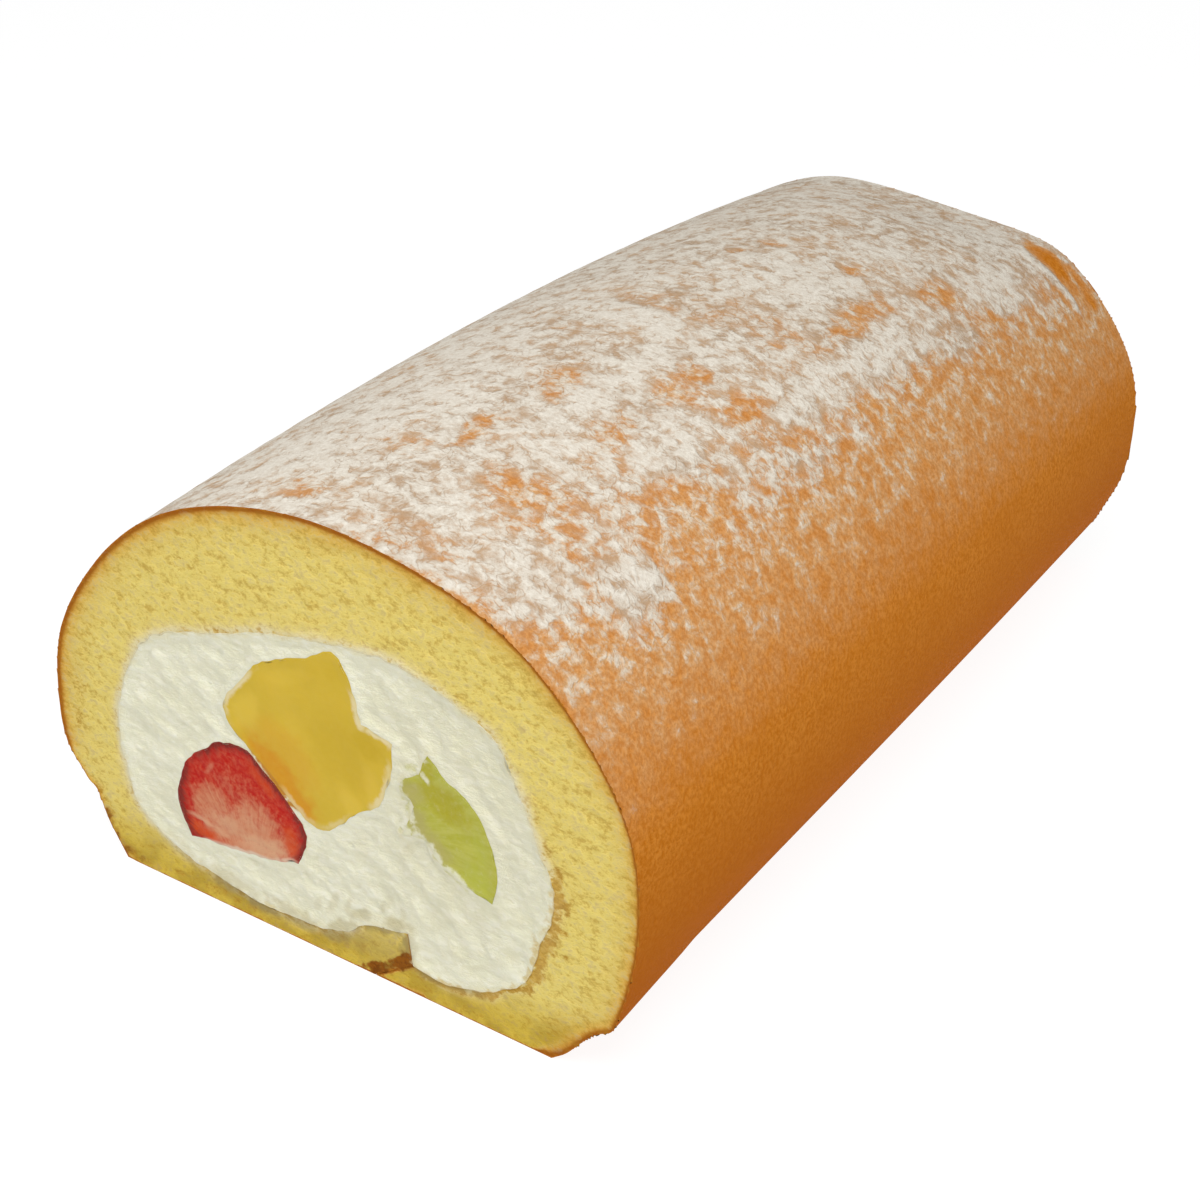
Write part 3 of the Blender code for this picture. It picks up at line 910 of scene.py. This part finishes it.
def make_sponge():
    """The sheet: seam closed, skin refined and dusted, cuts torn into crumb."""
    piece = start_from("sponge", "sponge_roll")
    close_seam(piece)
    cut_into_rings(piece, RING_STEP)
    edit(piece, "FACE")
    select_faces(piece, is_shown_skin)
    bpy.ops.mesh.subdivide(number_cuts=SKIN_CUTS)
    done()
    shown = points_of(piece, is_shown_skin)
    group = piece.vertex_groups.new(name="skin")
    group.add([index for index in shown if piece.data.vertices[index].co.z > 0.2 * MM], 1.0, "REPLACE")
    apply(piece, "SMOOTH", factor=0.5, iterations=SKIN_SMOOTHING, use_y=False, vertex_group="skin")
    piece.vertex_groups.clear()
    trim_square(piece, CRUMB_CELL)
    under_skin = depth_from(piece, "skin_depth", is_outside)
    beside_filling = depth_from(piece, "filling_depth", is_filling_wall)
    store(piece, "crust", [crust_thickness(point.co) for point in piece.data.vertices])
    skin_tree = near_surface(piece, is_outside)
    skin_points = points_of(piece, is_shown_skin)
    normals = {index: skin_tree.find_nearest(piece.data.vertices[index].co)[1] for index in skin_points}
    sugar = [SUGAR_UNDERNEATH] * len(piece.data.vertices)
    veil = [0.0] * len(piece.data.vertices)
    for index in skin_points:
        place = piece.data.vertices[index].co
        sugar[index] = sugar_cover(place, normals[index])
        veil[index] = dust_and_light_veil(place, normals[index]) * min(1.0, max(0.0, 1.0 + sugar[index]))
    store(piece, "sugar", sugar)
    store(piece, "veil", veil)
    paint_cuts(piece, "dark", DARK_DABS, 0.9)
    paint_cuts(piece, "browned", BROWNED_DABS, 0.9)
    paint_cuts(piece, "shade", CRUMB_SHADE_DABS)
    paint_cuts(piece, "smeared", SMEAR_DABS)
    wander(piece, skin_tree)
    for index in skin_points:
        point = piece.data.vertices[index]
        out = Vector((normals[index].x, 0.0, normals[index].z))
        fade = min(1.0, point.co.z / (3 * MM))
        point.co += out * (SUGAR_DEPTH * min(1.0, max(0.0, sugar[index])) - SKIN_INSET) * fade
    roughen_cuts(piece, crumb_relief, zip(under_skin, beside_filling))
    piece.data.materials.append(crumb_material())
    piece.data.materials.append(skin_material())
    for face in piece.data.polygons:
        if is_outside(face.center, face.normal) and not in_seam(face.center):
            face.material_index = 1
    return piece


# ---------------------------------------------------- the filling

def stroke_way(place):
    """Which way the knife dragged the cream: nearly level on the left, down the wall on the right."""
    downwards = smooth((place.x + 4 * MM) / (28 * MM))
    turn = math.radians(-20 - 45 * downwards + 30 * noise.noise(place / (8 * MM)))
    return Vector((math.cos(turn), 0.0, math.sin(turn)))


def dragged_noise(place, way, size, reach, seed):
    """Noise drawn out along a stroke."""
    total = 0.0
    for step in (-1.0, -0.67, -0.33, 0.0, 0.33, 0.67, 1.0):
        spot = place + way * (step * reach)
        total += noise.noise(spot / size + Vector((seed, seed, seed)))
    return total / 3.0


def cream_relief(place, depth):
    """Depth of the dragged cream below a clean cut, in metres."""
    wide = fractal(place, 7 * MM, 2, 2.2)
    way = stroke_way(place)
    strokes = dragged_noise(place, way, 2.5 * MM, 2.4 * MM, 8.4)
    fine = dragged_noise(place, way, 1.1 * MM, 1 * MM, 5.2)
    fluff = fractal(place, 1.5 * MM, 3, 3.3)
    rough = (CREAM_DEPTH + CREAM_WIDE * wide + CREAM_STROKES * strokes + CREAM_FINE * fine
             + CREAM_FLUFF * fluff)
    edge = smooth(depth / 2.2)
    return max(0.0, rough * edge + EDGE_DEPTH * (1.0 - edge)) * MM


CREAM_SHADE_DABS = (
    (22, 33, 14, 22, -15, 0.18),
    (6, 21, 1.6, 1.6, 30, 0.24), (14, 23.8, 1.2, 0.8, 0, 0.35), (9.4, 12.5, 0.7, 2.4, -30, 0.35),
    (11.5, 15, 0.8, 1.4, 0, 0.2), (13.6, 37, 1.2, 2.6, 0, 0.25), (2.8, 9.6, 0.5, 1.4, -20, 0.4),
    (-19, 4.8, 5, 0.8, -6, 0.6), (-8, 4.4, 4.5, 0.8, 0, 0.7), (11.6, 10.4, 2.8, 0.9, 8, 0.95),
    (1.8, 6, 2.8, 1, 35, 0.85), (5.2, 9.2, 2.4, 0.8, 20, 0.8), (-27.5, 6.8, 2.6, 0.6, -26, 0.4),
    (0.2, 8.8, 0.6, 2, -25, 0.4), (-2.5, 7.4, 0.5, 1.6, -30, 0.35), (14.2, 8, 0.6, 2.6, 0, 0.5),
    (8.8, 11.6, 0.5, 1.2, -20, 0.5), (12.4, 12.2, 0.5, 1.2, 15, 0.4), (12, 30, 0.8, 2.2, 20, 0.17),
    (17.6, 26, 1.8, 0.7, 40, 0.17))
# Painted orange shade on the cream where the strawberry and the mango meet.
CONTACT_SHADE_DABS = (
    (-8.4, 27.2, 5.6, 1.4, -42, 1.5), (-12.6, 30.4, 1.6, 0.9, -35, 0.8), (-4.4, 23.6, 1.8, 0.8, -55, 0.9))
GREEN_DABS = (
    (16.4, 28.4, 2.2, 1.3, -50, 0.75), (20.4, 24.2, 3.6, 1, -38, 0.8), (14.2, 33, 0.9, 2.6, 0, 0.7),
    (15.6, 37, 1.1, 1.2, 30, 0.6), (13.8, 28, 1.2, 0.8, 40, 0.5))


def swollen_cream(pocket_swell):
    """The cream, swollen into the gap round it and into its pockets, and trimmed at both ends."""
    piece = start_from("cream", "whipped_cream")
    edit(piece, "VERT")
    select("DESELECT")
    shape = bmesh.from_edit_mesh(piece.data)
    min(shape.verts, key=lambda vertex: vertex.co.z).select_set(True)
    bmesh.update_edit_mesh(piece.data)
    bpy.ops.mesh.select_linked()
    bpy.ops.transform.shrink_fatten(value=CREAM_SWELL)
    select("INVERT")
    bpy.ops.transform.shrink_fatten(value=pocket_swell)
    done()
    trim_square(piece, CREAM_CELL)
    return piece


def volume_of(mesh):
    """The volume of a mesh."""
    shape = bmesh.new()
    shape.from_mesh(mesh)
    volume = abs(shape.calc_volume())
    shape.free()
    return volume


def is_whole(piece, node):
    """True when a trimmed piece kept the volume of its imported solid."""
    return volume_of(piece.data) > WHOLE_SHARE * volume_of(frame["nodes"][node].data)


def make_cream():
    """The whipped cream: swollen, trimmed, painted and dragged."""
    piece = swollen_cream(POCKET_SWELL)
    if not is_whole(piece, "cream"):
        bpy.data.objects.remove(piece, do_unlink=True)
        piece = swollen_cream(POCKET_SWELL_AGAIN)
    inside = depth_from(piece, "wall_depth", is_wall)
    paint_cuts(piece, "shade", CREAM_SHADE_DABS)
    paint_cuts(piece, "contact_shade", CONTACT_SHADE_DABS)
    paint_cuts(piece, "greened", GREEN_DABS, 0.9)
    paint_cuts(piece, "browned", BROWNED_DABS, 0.9)
    lining = near_surface(piece, is_outside)
    store(piece, "outside", [smooth(1.5 - lining.find_nearest(point.co)[3] / (1.5 * MM))
                             for point in piece.data.vertices])
    # How deep the strokes lie, kept for the painted shade in them.
    strokes = [cream_relief(point.co, depth) / DEEPEST_STROKE
               for point, depth in zip(piece.data.vertices, inside)]
    store(piece, "stroke", [min(1.0, stroke) for stroke in strokes])
    wander(piece, None)
    roughen_cuts(piece, cream_relief, inside)
    piece.data.materials.append(cream_material())
    return piece


def make_fruit(node, name, relief, material, paint):
    """A bar of fruit, its cuts painted by dabs."""
    piece = start_from(node, name)
    edit(piece, "FACE")
    select("SELECT")
    bpy.ops.transform.shrink_fatten(value=FRUIT_SWELL)
    done()
    trim_square(piece, FRUIT_CELL)
    inside = depth_from(piece, "rim_depth", is_wall, FRUIT_SWELL)
    for attribute, dabs in paint.items():
        paint_cuts(piece, attribute, dabs, 0.25)
    wander(piece, None)
    roughen_cuts(piece, relief, inside)
    piece.data.materials.append(material)
    return piece


STRAWBERRY_PAINT = {
    "core": ((-14.5, 14, 8.5, 3.8, 6, 1), (-21, 17, 4, 3.2, 35, 0.85), (-13, 17.5, 5, 3.6, 0, 0.75),
             (-17, 21.5, 3, 3, 0, 0.3)),
    "pale": ((-11.5, 13.6, 5, 1.7, 8, 0.9), (-18.5, 14.8, 3.6, 1.5, 0, 0.7), (-14, 17, 3, 1.6, 0, 0.4)),
    "flush": ((-23.8, 11.6, 3.2, 1.1, -6, 1), (-6.4, 16.4, 1.3, 2.6, 10, 0.8),
              (-10.5, 25.2, 3, 1.4, -35, 0.6)),
    "light": ((-23.4, 13.5, 3.4, 0.4, -5, 1), (-19.4, 12.7, 1.4, 0.4, -10, 0.8),
              (-20.6, 23.4, 1.6, 0.35, 50, 0.35)),
    "rim": ((-14, 26.6, 12.5, 4.6, -8, 1), (-26.5, 17, 3, 8, 8, 1), (-4.8, 18, 1.8, 5, 0, 1)),
    "smeared": ((-22.3, 26.3, 0.8, 0.6, 40, 0.9), (-15, 11.4, 7, 0.4, 9, 0.8),
                (-7.5, 13.1, 2.2, 0.35, 12, 0.6))}
MANGO_PAINT = {
    "olive": ((4, 34.5, 5, 5.5, 20, 0.55), (8.5, 38, 2.8, 2, -20, 0.9), (-2, 46, 3.4, 2.2, 30, 0.35),
              (3.5, 48, 2.4, 1.6, 0, 0.3)),
    "orange": ((-7.6, 27.8, 6.5, 2.6, -40, 0.75), (-4.6, 25, 3.6, 1.6, -42, 0.8),
               (-6, 31.5, 6, 3.4, -40, 0.3), (-3.4, 23.2, 1.6, 1.2, -40, 0.8)),
    # Paler flesh, and a painted highlight at the upper left.
    "light": ((-12.6, 36, 2.2, 3.4, -30, 0.6), (5.6, 27.2, 1.6, 3.6, 35, 0.5), (9, 31.6, 1.2, 3.2, 10, 0.4),
              (-5, 44, 4, 1.2, 24, 0.3)),
    "smeared": ((-13.5, 38.5, 3, 4.5, -35, 0.9), (6.8, 42.6, 1.6, 3.2, 12, 0.9), (10, 40, 2.6, 1.2, 0, 0.9),
                (10.6, 31.5, 1.6, 4.6, -15, 0.8), (-4, 24, 3, 3.2, -42, 0.6), (1.5, 24, 3.2, 1.8, 40, 0.5))}
KIWI_PAINT = {
    "olive": ((20.5, 34.2, 4, 2.4, -25, 0.9), (17.8, 38, 1.4, 2, 0, 0.8)),
    "lime": ((25.6, 23.6, 2, 3, 20, 0.8), (26, 29, 1.2, 2.6, 15, 0.5)),
    "misty": ((15, 33.4, 2, 2, 0, 0.9), (16.2, 29, 1.8, 3, 15, 0.9), (18.5, 26.6, 3.4, 1.8, -42, 0.9)),
    "smeared": ((13.4, 34.4, 0.7, 1.3, 0, 0.8), (13.7, 27, 1.2, 1.5, -40, 0.85),
                (17.6, 26, 3.6, 1.2, -42, 0.95), (22.2, 22.6, 3.2, 0.9, -30, 0.9),
                (14.8, 31, 0.8, 2.4, 15, 0.85), (17.7, 37.2, 0.5, 1.1, 30, 0.7),
                (17.3, 39.6, 1, 0.5, 0, 0.5))}


def flesh_relief(level, swing, size, octaves, seed):
    """A relief for a fruit's cut: a level and a swing in millimetres, and the noise that swings it."""
    def relief(place, depth):
        uneven = swing * fractal(place, size, octaves, seed)
        return (EDGE_DEPTH + (level + uneven) * smooth(depth / 1.5)) * MM
    return relief


STRAWBERRY_RELIEF = flesh_relief(0.14, 0.14, 3 * MM, 3, 6.0)
MANGO_RELIEF = flesh_relief(0.1, 0.12, 6 * MM, 2, 9.0)
KIWI_RELIEF = flesh_relief(0.16, 0.16, 4 * MM, 3, 11)


def finish_piece(piece, node):
    """Smooth shading with the cut's edge kept sharp, and its place in the frame."""
    only(piece)
    bpy.ops.object.shade_smooth_by_angle(angle=math.radians(SHARP_EDGE))
    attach(piece, "root")
    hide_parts(node)


# ---------------------------------------------------- studio

WHITE = (1.0, 1.0, 1.0, 1.0)
FLOOR_GREY = (0.15, 0.15, 0.15, 1.0)
FLOOR_SIZE = 4.0
FLOOR_DROP = 0.02 * MM
FLOOR_GLOW = 0.92
ROOM_GLOW = 0.225
KEY_PLACE = Vector((0.125, -0.28, 0.59))
KEY_AIM = Vector((0, 0, 0.03))
KEY_SIZE = 0.45
KEY_POWER = 3.4
CAMERA_AZIMUTH, CAMERA_ELEVATION, CAMERA_ROLL = (math.radians(turn) for turn in (33.59, 30.42, 0.19))
CAMERA_AIM = Vector((0.0, -15.4 * MM, 24.8 * MM))
CAMERA_DISTANCE = 0.32
CAMERA_LENS = 61.4


def make_floor():
    """A plain pale ground, a hair below the roll."""
    bpy.ops.object.select_all(action="DESELECT")
    bpy.ops.mesh.primitive_plane_add(size=FLOOR_SIZE, location=(0, 0, -FLOOR_DROP))
    floor = bpy.context.active_object
    floor.name = "floor"
    ground, *_ = new_material("pale_floor", 0.8, Base_Color=FLOOR_GREY, Emission_Color=WHITE,
                              Emission_Strength=FLOOR_GLOW)
    floor.data.materials.append(ground)


def stand(name, data, place, way, roll=0.0):
    """Stand a lamp or a camera at a place, looking a way."""
    made = bpy.data.objects.new(name, data)
    made.location = place
    made.rotation_mode = "QUATERNION"
    made.rotation_quaternion = way.to_track_quat("-Z", "Y") @ Quaternion((0, 0, 1), roll)
    bpy.context.scene.collection.objects.link(made)
    return made


def make_light():
    """A round soft light."""
    data = bpy.data.lights.new("key", "AREA")
    data.shape = "DISK"
    data.size = KEY_SIZE
    data.energy = KEY_POWER
    stand("key", data, KEY_PLACE, KEY_AIM - KEY_PLACE)


def make_studio():
    """An even white room and one soft light from above the front right."""
    scene = bpy.context.scene
    world = bpy.data.worlds.new("studio")
    world.use_nodes = True
    background = world.node_tree.nodes["Background"].inputs
    background["Color"].default_value = WHITE
    background["Strength"].default_value = ROOM_GLOW
    scene.world = world
    make_light()
    scene.view_settings.view_transform = "Standard"


def make_camera():
    """Seen from the front right and above."""
    level = math.cos(CAMERA_ELEVATION)
    back = Vector((math.sin(CAMERA_AZIMUTH) * level, -math.cos(CAMERA_AZIMUTH) * level,
                   math.sin(CAMERA_ELEVATION)))
    data = bpy.data.cameras.new("camera")
    data.sensor_width = 36
    data.lens = CAMERA_LENS
    data.clip_start = 0.01
    place = CAMERA_AIM + back * CAMERA_DISTANCE
    bpy.context.scene.camera = stand("camera", data, place, -back, CAMERA_ROLL)


make_camera()
make_studio()
make_floor()
finish_piece(make_sponge(), "sponge")
finish_piece(make_cream(), "cream")
finish_piece(make_fruit("strawberry", "strawberry_bar", STRAWBERRY_RELIEF, strawberry_material(),
                        STRAWBERRY_PAINT), "strawberry")
finish_piece(make_fruit("mango", "mango_bar", MANGO_RELIEF, mango_material(), MANGO_PAINT), "mango")
finish_piece(make_fruit("kiwi", "kiwi_bar", KIWI_RELIEF, kiwi_material(), KIWI_PAINT), "kiwi")
